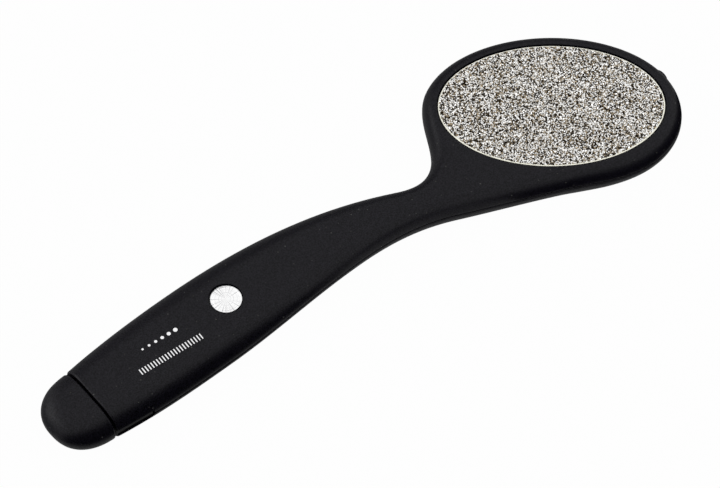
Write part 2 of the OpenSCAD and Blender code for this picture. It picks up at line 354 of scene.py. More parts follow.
class Solid:
    """Points and faces of one closed mesh while it is being made."""

    def __init__(self):
        self.points = []
        self.faces = []

    def row(self, points):
        """Adds points and gives their numbers."""
        first = len(self.points)
        self.points += [tuple(float(c) for c in p) for p in points]
        return list(range(first, len(self.points)))

    def strip(self, low, high, closed):
        """Faces between two rows with as many points. They face outwards where low runs
        anticlockwise and high lies above it or inside it."""
        count = len(low)
        for i in range(count if closed else count - 1):
            j = (i + 1) % count
            self.faces.append((low[i], low[j], high[j], high[i]))

    def sides(self, sections, closed=True):
        """Faces through sections with as many points each. Gives the sections' rows."""
        rows = [self.row(points) for points in sections]
        for low, high in zip(rows, rows[1:]):
            self.strip(low, high, closed)
        return rows

    def fill(self, sections):
        """A form through sections, closed at both ends."""
        rows = self.sides(sections)
        self.faces += [tuple(reversed(rows[0])), tuple(rows[-1])]

    def object(self, name, turned_over=False):
        """Makes the object. Turned over, it lies mirrored about the middle plane."""
        points, faces = self.points, self.faces
        if turned_over:
            points = [(x, y, body_t - z) for x, y, z in points]
            faces = [f[::-1] for f in faces]
        mesh = bpy.data.meshes.new(name)
        mesh.from_pydata(points, [], faces)
        return new_object(name, mesh)


def shoulder_profile(parted):
    """Levels of the body's side from the middle plane up: turn round the ellipse and extra inset.
    A parted side starts with the round edge along the parting line."""
    start = math.asin((parting_gap + parting_r) / mid_z) if parted else 0
    levels = []
    if parted:
        step_up = math.asin(parting_gap / mid_z)
        levels += [(0, parting_d), (step_up, parting_d)]
        for a in quarter_turns[:-1]:
            rise = parting_gap + parting_r * (1 - math.cos(a))
            levels.append((math.asin(rise / mid_z), parting_r * (1 - math.sin(a))))
    levels += [(start + (math.pi / 2 - start) * i / edge_steps, 0) for i in range(edge_steps + 1)]
    return levels + [(math.pi / 2, support)]


def side_level(path, inward, end, inset, turn, extra):
    """One row of points round the body."""
    row = []
    for p, way in zip(path, inward):
        lip = lip_at(abs(p[0] - end))
        d = inset + extra + lip + edge_at(p) * (1 - math.cos(turn))
        x, y = p + d * way
        row.append((x, y, mid_z + (mid_z - inset - lip) * math.sin(turn)))
    return row


def rounded_rings(place, wall_out, depth, steps):
    """Rings of points down into a recess: a support, the round lip, the wall and its foot."""
    rows = [(wall_out + recess_lip_r + support, 0)]
    for a in quarter_turns:
        rows.append((wall_out + recess_lip_r * (1 - math.sin(a)), recess_lip_r * (1 - math.cos(a))))
    rows.append((wall_out, depth))
    return [ring(place, out, body_t - drop, steps) for out, drop in rows]


def badge_place(turn, out):
    return badge_centre + (badge_r + out) * np.array([math.cos(turn), math.sin(turn)])


def badge_recess_place(turn, out):
    """The badge's recess. The badge lies nearer to its near side."""
    return badge_place(turn, out) + badge_slack


def flat_top(solid, outer, holes):
    """Fills the flat between its edge and the holes in it, facing up."""
    loops = [outer] + holes
    numbers = [n for loop in loops for n in loop]
    outlines = [[Vector(solid.points[n]) for n in loop] for loop in loops]
    for face in geometry.tessellate_polygon(outlines):
        corners = [numbers[c] for c in face]
        (ax, ay), (bx, by), (cx, cy) = (solid.points[n][:2] for n in corners)
        faces_up = (bx - ax) * (cy - ay) > (by - ay) * (cx - ax)
        solid.faces.append(tuple(corners if faces_up else corners[::-1]))


def half_shell(name, has_badge, turned_over):
    """One moulded shell, closed, before its bore and slots are cut."""
    solid = Solid()
    path = body_path()
    inward = inward_of(path, shell_x, edge_handle)
    rows = solid.sides([side_level(path, inward, shell_x, 0, turn, extra)
                        for turn, extra in shoulder_profile(True)], closed=False)
    top = rows[-1]
    lips = len(lip_rows()) - 1
    for j in range(lips):
        solid.faces.append((top[j], top[j + 1], top[-2 - j], top[-1 - j]))
    solid.faces.append(tuple(reversed(rows[0])))
    near_end, far_end = [r[0] for r in rows], [r[-1] for r in rows]
    solid.faces.append(tuple(near_end + far_end[::-1]))

    recesses = [rounded_rings(head_place, recess_gap, recess_d, oval_steps)]
    if has_badge:
        recesses.append(rounded_rings(badge_recess_place, badge_gap, badge_recess_d, badge_steps))
    holes = []
    for rings in recesses:
        numbers = solid.sides(rings)
        solid.faces.append(tuple(numbers[-1]))
        holes.append(numbers[0])
    flat_top(solid, top[lips:-lips], holes)
    return solid.object(name, turned_over)


def stadium(w, h):
    """Corners of a shape like a rectangle with round ends, across the handle."""
    corners = []
    for side in (1, -1):
        for i in range(end_steps + 1):
            a = math.radians(-90 + 180 * i / end_steps)
            corners.append((side * ((w - h) / 2 + h / 2 * math.cos(a)), side * h / 2 * math.sin(a)))
    return corners


def run_through(name, sections):
    """A closed mesh through sections across the handle, each (x, width, height)."""
    solid = Solid()
    solid.fill([[(x, handle_y + y, mid_z + z) for y, z in stadium(w, h)] for x, w, h in sections])
    return solid.object(name)


def slot_cutter(name, side):
    """What a side slot takes away: a box that widens at the body's surface."""
    near_a = handle_y + side * seam_w / 2
    rise = side * math.tan(math.radians(-near_seam_way)) * slot_lean_share
    sections = []
    for out, grow in ((-slot_in, 0), (-slot_lip, 0), (2 * slot_lip, 3 * slot_lip)):
        x0, x1 = shell_x - overrun, shell_x + slot_l + grow
        z0, z1 = mid_z - slot_h / 2 - grow, mid_z + slot_h / 2 + grow
        corners = [(x0, z0), (x1, z0), (x1, z1), (x0, z1)]
        sections.append([(x, near_a + side * out + rise * (x - shell_x), z) for x, z in corners])
    solid = Solid()
    solid.fill(sections)
    return solid.object(name)


def combined(piece, other, how):
    """Cuts the other object from the piece, or joins it on, and deletes it."""
    for thing in (piece, other):
        make_outward(thing)
    step = piece.modifiers.new("step", "BOOLEAN")
    step.operation, step.solver, step.object = how, "EXACT", other
    bake_modifiers(piece)
    bpy.data.objects.remove(other)


def make_outward(piece):
    made = bmesh.new()
    made.from_mesh(piece.data)
    bmesh.ops.recalc_face_normals(made, faces=made.faces)
    made.to_mesh(piece.data)
    made.free()


def bake_modifiers(piece):
    """Turns the piece and its modifiers into a plain mesh."""
    evaluated = piece.evaluated_get(bpy.context.evaluated_depsgraph_get())
    mesh = bpy.data.meshes.new_from_object(evaluated)
    piece.modifiers.clear()
    old, piece.data = piece.data, mesh
    bpy.data.meshes.remove(old)
    mesh.name = piece.name


def smooth(piece):
    """Smooth shading, with creases where faces meet at more than the crease angle."""
    piece.data.shade_smooth()
    piece.data.set_sharp_from_angle(angle=crease_angle)


def catch_block():
    """The small round catch that stands out at the head's far end, just above the parting line."""
    reach = rim_reach - rim_w
    y = -((plate_l ** 2 - plate_w ** 2) / 4) * math.sin(head_turn) * math.cos(head_turn) / reach
    made = bmesh.new()
    bmesh.ops.create_uvsphere(made, u_segments=catch_steps, v_segments=catch_steps // 2, radius=1)
    for v in made.verts:
        v.co = Vector((head_centre[0] + rim_reach + catch_out + (v.co.x - 1) * overrun,
                       head_centre[1] + y + v.co.y * catch_l / 2,
                       mid_z + (1 + v.co.z) * catch_h / 2))
    mesh = bpy.data.meshes.new("catch")
    made.to_mesh(mesh)
    made.free()
    return new_object("catch", mesh)


def make_shell(name, has_badge, turned_over):
    """A shell with its bore and slots. The one with the badge also has the catch."""
    piece = half_shell(name, has_badge, turned_over)
    bore_w, bore_h = plug_w + 2 * slide_gap, plug_h + 2 * slide_gap
    mouth_w, mouth_h = bore_w + 2 * mouth_lip, bore_h + 2 * mouth_lip
    bore = run_through("bore", [(shell_x - overrun, mouth_w, mouth_h), (shell_x, mouth_w, mouth_h),
                                (shell_x + mouth_lip, bore_w, bore_h), (store_end_x, bore_w, bore_h)])
    combined(piece, bore, "DIFFERENCE")
    for side in (-1, 1):
        combined(piece, slot_cutter("slot", side), "DIFFERENCE")
    if has_badge:
        combined(piece, catch_block(), "UNION")
    leaned(piece)
    smooth(piece)
    return piece


def make_cap():
    """The rounded end of the handle, with the socket that holds the plug."""
    solid = Solid()
    path = cap_path()
    inward = inward_of(path, cap_face_x, cap_blend_l)
    upper = shoulder_profile(False)
    levels = [(-turn, extra) for turn, extra in upper[:0:-1]] + upper
    rows = solid.sides([side_level(path, inward, cap_face_x, cap_inset, turn, extra)
                        for turn, extra in levels], closed=False)
    half = len(path) // 2
    for row, sign in ((rows[-1], 1), (rows[0], -1)):
        for i in range(half):
            face = (row[i], row[i + 1], row[-2 - i], row[-1 - i])
            face = face if row[i + 1] != row[-2 - i] else face[:2] + face[3:]
            solid.faces.append(face if sign > 0 else face[::-1])
    far_end, near_end = [r[0] for r in rows], [r[-1] for r in rows]
    solid.faces.append(tuple(far_end + near_end[::-1]))
    piece = solid.object("cap")
    socket_w, socket_h = plug_w + 2 * bond_gap, plug_h + 2 * bond_gap
    socket = run_through("socket", [(plug_lo.x - bond_gap, socket_w, socket_h),
                                    (cap_face_x + overrun, socket_w, socket_h)])
    combined(piece, socket, "DIFFERENCE")
    leaned(piece)
    smooth(piece)
    return piece


def make_plug():
    """The construction's plug as a clean mesh with rounded edges."""
    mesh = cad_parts["cap_plug"].data.copy()
    piece = new_object("plug", mesh)
    made = bmesh.new()
    made.from_mesh(mesh)
    bmesh.ops.remove_doubles(made, verts=made.verts, dist=weld_gap)
    bmesh.ops.dissolve_limit(made, angle_limit=flat_angle, verts=made.verts, edges=made.edges)
    made.to_mesh(mesh)
    made.free()
    edge = piece.modifiers.new("edge", "BEVEL")
    edge.width = plug_r
    edge.segments = bevel_steps
    edge.limit_method = "ANGLE"
    edge.angle_limit = plug_edge_angle
    bake_modifiers(piece)
    smooth(piece)
    return piece


def turned_profile(name, place, profile, steps, turned_over=False):
    """A closed mesh from a profile of (outwards, height) pairs run round an outline, from the foot
    up over the top and in to the last ring, which a face closes."""
    solid = Solid()
    solid.fill([ring(place, out, z, steps) for out, z in profile])
    piece = solid.object(name, turned_over)
    smooth(piece)
    return piece


def make_plate(name, turned_over):
    """The steel oval that carries the grit. Its bare edge shows round the grit."""
    profile = [(-steel_draw, steel_lo.z)]
    for a in quarter_turns:
        inwards = steel_r * (math.cos(a) - 1) - steel_draw
        profile.append((inwards, steel_hi.z - steel_r * (1 - math.sin(a))))
    return turned_profile(name, head_place, profile, oval_steps, turned_over)


def make_bond(name, turned_over):
    """The thin layer of nickel that holds the crystals."""
    profile = [(-bond_margin, steel_hi.z), (-bond_margin, steel_hi.z + bond_t / 2),
               (-bond_margin - bond_t / 2, steel_hi.z + bond_t)]
    return turned_profile(name, head_place, profile, oval_steps, turned_over)


def make_badge():
    """The round metal disc: a raised rim, a groove, and a field turned with fine rings. Its face lies
    a little under the handle's, so that the recess shows black on the far side."""
    face_z = badge_hi.z - badge_sink
    profile = [(0, badge_lo.z)] + [(-inwards * mm, face_z - drop * mm) for inwards, drop in badge_edge]
    first_out, first_z = profile[-1]
    for i in range(1, ring_steps * badge_rings + 1):
        dip = ring_depth * (1 - math.cos(2 * math.pi * i / ring_steps)) / 2
        profile.append((first_out - ring_w * i / ring_steps, first_z - dip))
    return turned_profile("turned_badge", badge_place, profile, badge_steps)


def new_tree(kind, name, inputs, outputs):
    """A tree of nodes with named inputs (name, socket type, value) and outputs (name, socket type)."""
    tree = bpy.data.node_groups.new(name, kind)
    for label, socket, value in inputs:
        made = tree.interface.new_socket(label, in_out="INPUT", socket_type="NodeSocket" + socket)
        if value is not None:
            made.default_value = value
    for label, socket in outputs:
        tree.interface.new_socket(label, in_out="OUTPUT", socket_type="NodeSocket" + socket)
    return tree


def new_maker(name, sizes):
    """A Geometry Nodes tree with its sizes as inputs, besides the start mesh and the material."""
    inputs = [("Geometry", "Geometry", None), *sizes, ("Material", "Material", None)]
    return new_tree("GeometryNodeTree", name, inputs, [("Geometry", "Geometry")])


def feed(tree, node, inputs):
    """Gives a node a value or a link for each named input."""
    for label, value in inputs.items():
        if isinstance(value, bpy.types.NodeSocket):
            tree.links.new(value, node.inputs[label])
        else:
            node.inputs[label].default_value = value


def add(tree, kind, inputs=None, **settings):
    """Adds a node with its settings and inputs."""
    made = tree.nodes.new(kind)
    for label, value in settings.items():
        setattr(made, label, value)
    feed(tree, made, inputs or {})
    return made


def reckoned(tree, how, *values):
    """The result of a sum with values or links."""
    return add(tree, "ShaderNodeMath", dict(enumerate(values)), operation=how).outputs[0]


def grit_tree():
    """Scatters blocky crystals over a face. Each has its own turn, size and tone, and each of its
    facets has its own warmth."""
    tree = new_maker("grit", [("Spacing", "Float", 0.5 * mm), ("Size", "Float", 0.5 * mm),
                              ("Seed", "Int", 1)])
    given = add(tree, "NodeGroupInput").outputs
    density = reckoned(tree, "DIVIDE", crystal_crowding, reckoned(tree, "POWER", given["Spacing"], 2.0))
    spots = add(tree, "GeometryNodeDistributePointsOnFaces",
                {"Mesh": given["Geometry"], "Distance Min": given["Spacing"],
                 "Density Max": density, "Seed": given["Seed"]},
                distribute_method="POISSON")
    block = add(tree, "GeometryNodeMeshCube")
    scales = add(tree, "FunctionNodeRandomValue",
                 {0: 3 * (crystal_least,), 1: 3 * (crystal_most,), "Seed": given["Seed"]},
                 data_type="FLOAT_VECTOR")
    sized = add(tree, "ShaderNodeVectorMath",
                {0: scales.outputs[0], "Scale": given["Size"]}, operation="SCALE")
    turns = add(tree, "FunctionNodeRandomValue",
                {0: (0, 0, 0), 1: 3 * (math.pi,), "Seed": given["Seed"]},
                data_type="FLOAT_VECTOR")
    crystals = add(tree, "GeometryNodeInstanceOnPoints",
                   {"Points": spots.outputs["Points"], "Instance": block.outputs["Mesh"],
                    "Rotation": turns.outputs[0], "Scale": sized.outputs[0]})
    drawn = add(tree, "FunctionNodeRandomValue", {"Seed": given["Seed"]}, data_type="FLOAT")
    toned = add(tree, "GeometryNodeStoreNamedAttribute",
                {"Geometry": crystals.outputs[0], "Name": "tone", "Value": drawn.outputs[1]},
                data_type="FLOAT", domain="INSTANCE")
    solid = add(tree, "GeometryNodeRealizeInstances", {"Geometry": toned.outputs[0]})
    solid = add(tree, "GeometryNodeStoreNamedAttribute",
                {"Geometry": solid.outputs[0], "Name": "warmth", "Value": drawn.outputs[1]},
                data_type="FLOAT", domain="FACE")
    coated = add(tree, "GeometryNodeSetMaterial",
                 {"Geometry": solid.outputs[0], "Material": given["Material"]})
    add(tree, "NodeGroupOutput", {"Geometry": coated.outputs[0]})
    return tree


def print_tree():
    """A row of printed marks: bars, or dots that grow along the row."""
    tree = new_maker("printed_row", [
        ("Count", "Int", 8), ("Step", "Float", 2 * mm), ("Wide", "Float", 1 * mm),
        ("Tall", "Float", 1 * mm), ("Growth", "Float", 0.0), ("Thick", "Float", 0.02 * mm),
        ("Round", "Bool", False)])
    given = add(tree, "NodeGroupInput").outputs
    offset = add(tree, "ShaderNodeCombineXYZ", {"X": given["Step"]})
    row = add(tree, "GeometryNodeMeshLine", {"Count": given["Count"], "Offset": offset.outputs[0]},
              mode="OFFSET", count_mode="TOTAL")
    dot = add(tree, "GeometryNodeMeshCylinder", {"Vertices": dot_steps, "Radius": 0.5, "Depth": 1.0})
    bar = add(tree, "GeometryNodeMeshCube")
    mark = add(tree, "GeometryNodeSwitch",
               {"Switch": given["Round"], "False": bar.outputs["Mesh"], "True": dot.outputs["Mesh"]},
               input_type="GEOMETRY")
    place = add(tree, "GeometryNodeInputIndex").outputs[0]
    grown = reckoned(tree, "MULTIPLY_ADD", place, given["Growth"], 1.0)
    wide = reckoned(tree, "MULTIPLY", given["Wide"], grown)
    tall = reckoned(tree, "MULTIPLY", given["Tall"], grown)
    size = add(tree, "ShaderNodeCombineXYZ", {"X": wide, "Y": tall, "Z": given["Thick"]})
    marks = add(tree, "GeometryNodeInstanceOnPoints",
                {"Points": row.outputs["Mesh"], "Instance": mark.outputs[0], "Scale": size.outputs[0]})
    solid = add(tree, "GeometryNodeRealizeInstances", {"Geometry": marks.outputs[0]})
    coated = add(tree, "GeometryNodeSetMaterial",
                 {"Geometry": solid.outputs[0], "Material": given["Material"]})
    add(tree, "NodeGroupOutput", {"Geometry": coated.outputs[0]})
    return tree


def grown_piece(name, start, tree, values):
    """Runs a Geometry Nodes tree on a start mesh and keeps the result as a plain mesh."""
    piece = new_object(name, start)
    step = piece.modifiers.new("grown", "NODES")
    step.node_group = tree
    by_name = {item.name: item.identifier for item in tree.interface.items_tree
               if item.in_out == "INPUT"}
    for label, value in values.items():
        step[by_name[label]] = value
    bake_modifiers(piece)
    return piece


def oval_face(inset, z, turned_over):
    """One flat face of the plate's outline, on which the grit is scattered."""
    solid = Solid()
    solid.faces.append(tuple(solid.row(ring(head_place, -inset, z, oval_steps))))
    made = solid.object("grit_face", turned_over)
    mesh = made.data
    bpy.data.objects.remove(made)
    return mesh


def press_level(layer, plane, turned_over):
    """Flattens a layer of crystals about its bond until its highest tip is level with the rim."""
    plane, rim = (body_t - plane, 0) if turned_over else (plane, body_t)
    points = np.array([v.co for v in layer.data.vertices])
    reach = np.abs(points[:, 2] - plane).max()
    points[:, 2] = plane + (points[:, 2] - plane) * abs(rim - plane) / reach
    layer.data.vertices.foreach_set("co", points.ravel())
    layer.data.update()


def laid_on_handle(piece, centre, degrees):
    """Moves a row of marks, made about its own middle, to its place on the handle's flat."""
    points = np.array([v.co for v in piece.data.vertices])
    points[:, 0] -= (points[:, 0].min() + points[:, 0].max()) / 2
    c, s = heading(degrees)
    x = centre[0] + c * points[:, 0] - s * points[:, 1]
    y = centre[1] + s * points[:, 0] + c * points[:, 1]
    z = body_t + points[:, 2]
    piece.data.vertices.foreach_set("co", np.stack([x, y, z], 1).ravel())
    piece.data.update()


# Materials

def new_pattern(name, inputs, outputs):
    """A shader node group that reads a place and puts out values that change over the surface."""
    return new_tree("ShaderNodeTree", name, [("Vector", "Vector", None), *inputs],
                    [(label, "Float") for label in outputs])


def speckle_group():
    """Sparse tiny specks of dust: a mask from a few of the cells of a fine cell pattern."""
    tree = new_pattern("specks", [("Scale", "Float", 900.0), ("Share", "Float", 0.05),
                                  ("Radius", "Float", 0.25)], ["Mask", "Tone"])
    given = add(tree, "NodeGroupInput").outputs
    cells = add(tree, "ShaderNodeTexVoronoi", {"Vector": given["Vector"], "Scale": given["Scale"]})
    split = add(tree, "ShaderNodeSeparateColor", {"Color": cells.outputs["Color"]})
    chosen = reckoned(tree, "LESS_THAN", split.outputs[0], given["Share"])
    inside = reckoned(tree, "LESS_THAN", cells.outputs["Distance"], given["Radius"])
    both = reckoned(tree, "MULTIPLY", chosen, inside)
    add(tree, "NodeGroupOutput", {"Mask": both, "Tone": split.outputs[1]})
    return tree


def grain_group():
    """Fine moulded grain: a height, and a slow mottle for tone and roughness."""
    tree = new_pattern("grain", [("Fine", "Float", 2500.0), ("Broad", "Float", 90.0)],
                       ["Height", "Mottle"])
    given = add(tree, "NodeGroupInput").outputs
    fine = add(tree, "ShaderNodeTexNoise",
               {"Vector": given["Vector"], "Scale": given["Fine"], "Detail": 4.0, "Roughness": 0.6})
    broad = add(tree, "ShaderNodeTexNoise",
                {"Vector": given["Vector"], "Scale": given["Broad"], "Detail": 5.0, "Roughness": 0.55})
    add(tree, "NodeGroupOutput", {"Height": fine.outputs["Fac"], "Mottle": broad.outputs["Fac"]})
    return tree


def spun_group():
    """Values for metal spun in rings round a centre: a height that changes with the distance from it, and
    rays that change with the turn round it. The badge turns the rays into painted reflection streaks and
    the height's low parts into painted shade in the rings' grooves."""
    tree = new_pattern("spun", [("Rings", "Float", 9000.0), ("Rays", "Float", 40.0)], ["Height", "Ray"])
    given = add(tree, "NodeGroupInput").outputs
    parts = add(tree, "ShaderNodeSeparateXYZ", {"Vector": given["Vector"]})
    flat = add(tree, "ShaderNodeCombineXYZ", {"X": parts.outputs[0], "Y": parts.outputs[1]})
    reach = add(tree, "ShaderNodeVectorMath", {0: flat.outputs[0]}, operation="LENGTH")
    angle = reckoned(tree, "ARCTAN2", parts.outputs[1], parts.outputs[0])
    put_out = {}
    for label, along, count, detail in (("Height", reach.outputs["Value"], "Rings", 3.0),
                                        ("Ray", angle, "Rays", 2.0)):
        counted = reckoned(tree, "MULTIPLY", along, given[count])
        streaks = add(tree, "ShaderNodeTexNoise", {"W": counted, "Scale": 1.0, "Detail": detail},
                      noise_dimensions="1D")
        put_out[label] = streaks.outputs["Fac"]
    add(tree, "NodeGroupOutput", put_out)
    return tree


groups = {"specks": speckle_group(), "grain": grain_group(), "spun": spun_group()}


def bare_material(name):
    """A material with no nodes yet, and its tree."""
    made = bpy.data.materials.new(name)
    made.use_nodes = True
    made.node_tree.nodes.clear()
    return made, made.node_tree


def new_material(name, metallic=0.0, specular=0.5):
    """A material with a Principled shader. Gives its tree, its shader and Object coordinates."""
    made, tree = bare_material(name)
    place = add(tree, "ShaderNodeTexCoord").outputs["Object"]
    shader = add(tree, "ShaderNodeBsdfPrincipled",
                 {"Metallic": metallic, "IOR": 1.5, "Specular IOR Level": specular})
    add(tree, "ShaderNodeOutputMaterial", {"Surface": shader.outputs[0]})
    return made, tree, shader, place


def grouped(tree, name, inputs):
    """Places a pattern in a material with its own values."""
    return add(tree, "ShaderNodeGroup", inputs, node_tree=groups[name])


def blended(tree, factor, low, high):
    """A colour between two colours or colour sockets."""
    made = add(tree, "ShaderNodeMix", {0: factor, 6: low, 7: high}, data_type="RGBA")
    return made.outputs[2]


def ranged(tree, value, to, within=(0.0, 1.0)):
    """Carries a value from within one range over to another."""
    made = add(tree, "ShaderNodeMapRange", {"Value": value, "From Min": within[0], "From Max": within[1],
                                            "To Min": to[0], "To Max": to[1]})
    return made.outputs[0]


def bumped(tree, height, strength, distance=0.02 * mm):
    """The tilt that a height gives the surface."""
    made = add(tree, "ShaderNodeBump", {"Height": height, "Strength": strength, "Distance": distance})
    return made.outputs[0]


def grained(name, fine, broad, dark, pale, rough, rough_from=(0.0, 1.0), colour_by="Mottle",
            rough_by="Mottle", bump=0.3, bump_d=0.02 * mm, **surface):
    """A finish between two colours and two roughnesses, which each follow the grain's height or its
    mottle, with the grain's height as its bump."""
    made, tree, shader, place = new_material(name, **surface)
    grain = grouped(tree, "grain", {"Vector": place, "Fine": fine, "Broad": broad}).outputs
    feed(tree, shader, {"Base Color": blended(tree, grain[colour_by], dark, pale),
                        "Roughness": ranged(tree, grain[rough_by], rough, rough_from),
                        "Normal": bumped(tree, grain["Height"], bump, bump_d)})
    return made


def soft_touch():
    """Black soft-touch plastic: satin, finely grained, with a few specks of pale dust."""
    made, tree, shader, place = new_material("soft_touch", specular=0.165)
    grain = grouped(tree, "grain", {"Vector": place, "Fine": 2400.0, "Broad": 140.0}).outputs
    dust = grouped(tree, "specks",
                   {"Vector": place, "Scale": 1000.0, "Share": 0.05, "Radius": 0.22}).outputs
    plain = blended(tree, ranged(tree, grain["Height"], to=(0.0, 1.0), within=(0.35, 0.65)),
                    (0.0002, 0.0001, 0.0010, 1), (0.0031, 0.0024, 0.0062, 1))
    pale = blended(tree, dust["Tone"], (0.014, 0.013, 0.012, 1), (0.05, 0.05, 0.047, 1))
    feed(tree, shader, {
        "Base Color": blended(tree, dust["Mask"], plain, pale),
        "Roughness": ranged(tree, grain["Mottle"], to=(0.34, 0.42), within=(0.3, 0.7)),
        "Coat Weight": ranged(tree, grain["Height"], to=(0.0, 0.17), within=(0.4, 0.6)),
        "Coat Roughness": 0.38,
        "Normal": bumped(tree, grain["Height"], strength=0.25)})
    return made


def crystal_metal(name, dark, light):
    """Nickel over the crystals. Each crystal has its own tone and each facet its own warmth."""
    made, tree, shader, place = new_material(name, metallic=1.0)
    tone = add(tree, "ShaderNodeAttribute", attribute_name="tone").outputs["Fac"]
    warmth = add(tree, "ShaderNodeAttribute", attribute_name="warmth").outputs["Fac"]
    grain = grouped(tree, "grain", {"Vector": place, "Fine": 5000.0, "Broad": 1500.0}).outputs
    plain = blended(tree, ranged(tree, tone, to=(0.0, 1.0), within=(0.25, 0.29)), dark, light)
    tint = blended(tree, ranged(tree, warmth, to=(0.0, 1.0), within=(0.62, 0.76)),
                   (1.0, 1.0, 1.0, 1), (0.34, 0.27, 0.18, 1))
    tinted = add(tree, "ShaderNodeMix", {0: 1.0, 6: plain, 7: tint}, data_type="RGBA",
                 blend_type="MULTIPLY")
    feed(tree, shader, {"Base Color": tinted.outputs[2],
                        "Roughness": ranged(tree, grain["Mottle"], to=(0.04, 0.18)),
                        "Normal": bumped(tree, grain["Height"], strength=0.3)})
    return made


def badge_metal():
    """Bright aluminium, spun in fine rings round its own centre. Its colour holds painted reflection
    streaks that turn round the centre, and painted shade in the rings' grooves.
    """
    made, tree, shader, place = new_material("badge_metal", metallic=0.9)
    centred = add(tree, "ShaderNodeMapping",
                  {"Vector": place, "Location": (-badge_centre[0], -badge_centre[1], 0)}).outputs[0]
    spun = grouped(tree, "spun", {"Vector": centred, "Rings": 2400.0, "Rays": 9.0}).outputs
    # Painted reflection: light and dark streaks that turn round the centre, as spun metal mirrors them
    rays = blended(tree, ranged(tree, spun["Ray"], to=(0.0, 1.0), within=(0.34, 0.46)),
                   (0.55, 0.55, 0.56, 1), (1.0, 1.0, 1.0, 1))
    # Painted shade: the colour darkens where the rings' height is low, in their grooves
    rings = ranged(tree, spun["Height"], to=(0.0, 1.0), within=(0.34, 0.46))
    feed(tree, shader, {"Base Color": blended(tree, rings, (0.72, 0.72, 0.73, 1), rays),
                        "Roughness": ranged(tree, spun["Height"], to=(0.14, 0.30)),
                        "Normal": bumped(tree, spun["Height"], strength=0.35, distance=0.015 * mm)})
    return made


soft = soft_touch()
badge_spun = badge_metal()

# Smooth black moulded plastic, with faint flow marks
plug_plastic = grained("plug_plastic", fine=900.0, broad=60.0, dark=(0.0008, 0.0008, 0.0008, 1),
                       pale=(0.002, 0.002, 0.002, 1), rough=(0.22, 0.36), rough_from=(0.3, 0.7),
                       bump=0.15, specular=0.12)
# Stamped steel, pale and slightly warm, with fine scratches
steel = grained("plate_steel", fine=3000.0, broad=300.0, dark=(0.93, 0.91, 0.78, 1),
                pale=(1.0, 0.99, 0.88, 1), rough=(0.25, 0.5), rough_from=(0.3, 0.7), metallic=0.85)
# The dull nickel between the crystals
bond = grained("bond_metal", fine=1800.0, broad=700.0, dark=(0.05, 0.042, 0.032, 1),
               pale=(0.22, 0.20, 0.17, 1), rough=(0.35, 0.6), colour_by="Height", bump=0.9,
               bump_d=0.12 * mm, metallic=0.8)
# Thin pale foam tape under the plates and the badge
tape = grained("foam_tape", fine=3500.0, broad=400.0, dark=(0.62, 0.58, 0.46, 1),
               pale=(0.78, 0.75, 0.64, 1), rough=(0.75, 0.95), rough_by="Height", bump=0.5,
               bump_d=0.05 * mm, specular=0.2)
# White printing ink, a little uneven
ink = grained("print_ink", fine=4000.0, broad=900.0, dark=(0.80, 0.80, 0.81, 1),
              pale=(0.95, 0.95, 0.95, 1), rough=(0.4, 0.6), rough_by="Height", bump=0.2,
              bump_d=0.01 * mm, specular=0.3)
# Nickel over the coarse and the fine crystals
coarse = crystal_metal("coarse_crystals", (0.024, 0.015, 0.006, 1), (1.0, 1.0, 0.985, 1))
fine = crystal_metal("fine_crystals", (0.05, 0.045, 0.038, 1), (0.95, 0.94, 0.92, 1))


# Pieces

def finished(piece, body, slot, material, *nodes):
    """Gives a piece its material, the body that it rides on and the nodes that it stands for."""
    if material is not None:
        piece.data.materials.clear()
        piece.data.materials.append(material)
    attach(piece, body)
    if nodes:
        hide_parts(*nodes)


finished(make_shell("upper_case", True, False), "file_body", "soft_touch_black", soft, "upper_shell")
finished(make_shell("lower_case", False, True), "file_body", "soft_touch_black", soft, "lower_shell")
finished(make_cap(), "end_cap", "soft_touch_black", soft, "cap_shell")
finished(make_plug(), "end_cap", "plug_black", plug_plastic, "cap_plug")
finished(make_badge(), "file_body", "badge_metal", badge_spun, "badge")

scatter = grit_tree()
for side, turned_over, crystals, spacing, seed in (
        ("coarse", False, coarse, coarse_spacing, coarse_seed),
        ("fine", True, fine, fine_spacing, fine_seed)):
    finished(make_plate(side + "_steel", turned_over), "file_body", "plate_steel", steel, side + "_plate")
    finished(make_bond(side + "_bond", turned_over), "file_body", side + "_grit", bond)
    face = oval_face(bond_margin + crystal_margin_share * spacing, steel_hi.z + bond_t, turned_over)
    values = {"Spacing": spacing, "Size": spacing * crystal_size_share, "Seed": seed}
    layer = grown_piece(side + "_crystals", face, scatter, dict(values, Material=crystals))
    press_level(layer, steel_hi.z + bond_t, turned_over)
    finished(layer, "file_body", side + "_grit", None, side + "_grit")

row = print_tree()
for name, centre, values in (("dot_scale", dot_centre, dot_row), ("bar_scale", bar_centre, bar_row)):
    marks = grown_piece(name, bpy.data.meshes.new(name), row, dict(values, Material=ink))
    laid_on_handle(marks, centre, row_turn)
    finished(marks, "file_body", "print_white", None)

for node in ("coarse_pad", "fine_pad", "badge_pad"):
    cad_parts[node].data.materials.clear()
    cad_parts[node].data.materials.append(tape)


# Floor, light and camera

# Angles are in degrees: a turn from the near side round towards the head, and a rise above the floor
view_turn = 320
view_rise = 57
view_l = 1543.2 * mm
aim_along = 0.83 * mm
aim_across = 1.96 * mm
target = Vector(((cad_box[0].x + cad_box[1].x) / 2 + aim_along, aim_across, mid_z))
lens_px = 5000
photo_w = 720
nearest_seen = 0.01
furthest_seen = 50
floor_reach = 6.0
lamp_turn = 225
lamp_rise = 25
lamp_l = 1.6
lamp_w = 1.0
lamp_power = 3.0

# How white the floor glows where it is seen, how much of that is mirrored, and its colour when lit
floor_glow = 0.98
mirrored_glow = 0.15
floor_tone = 0.45
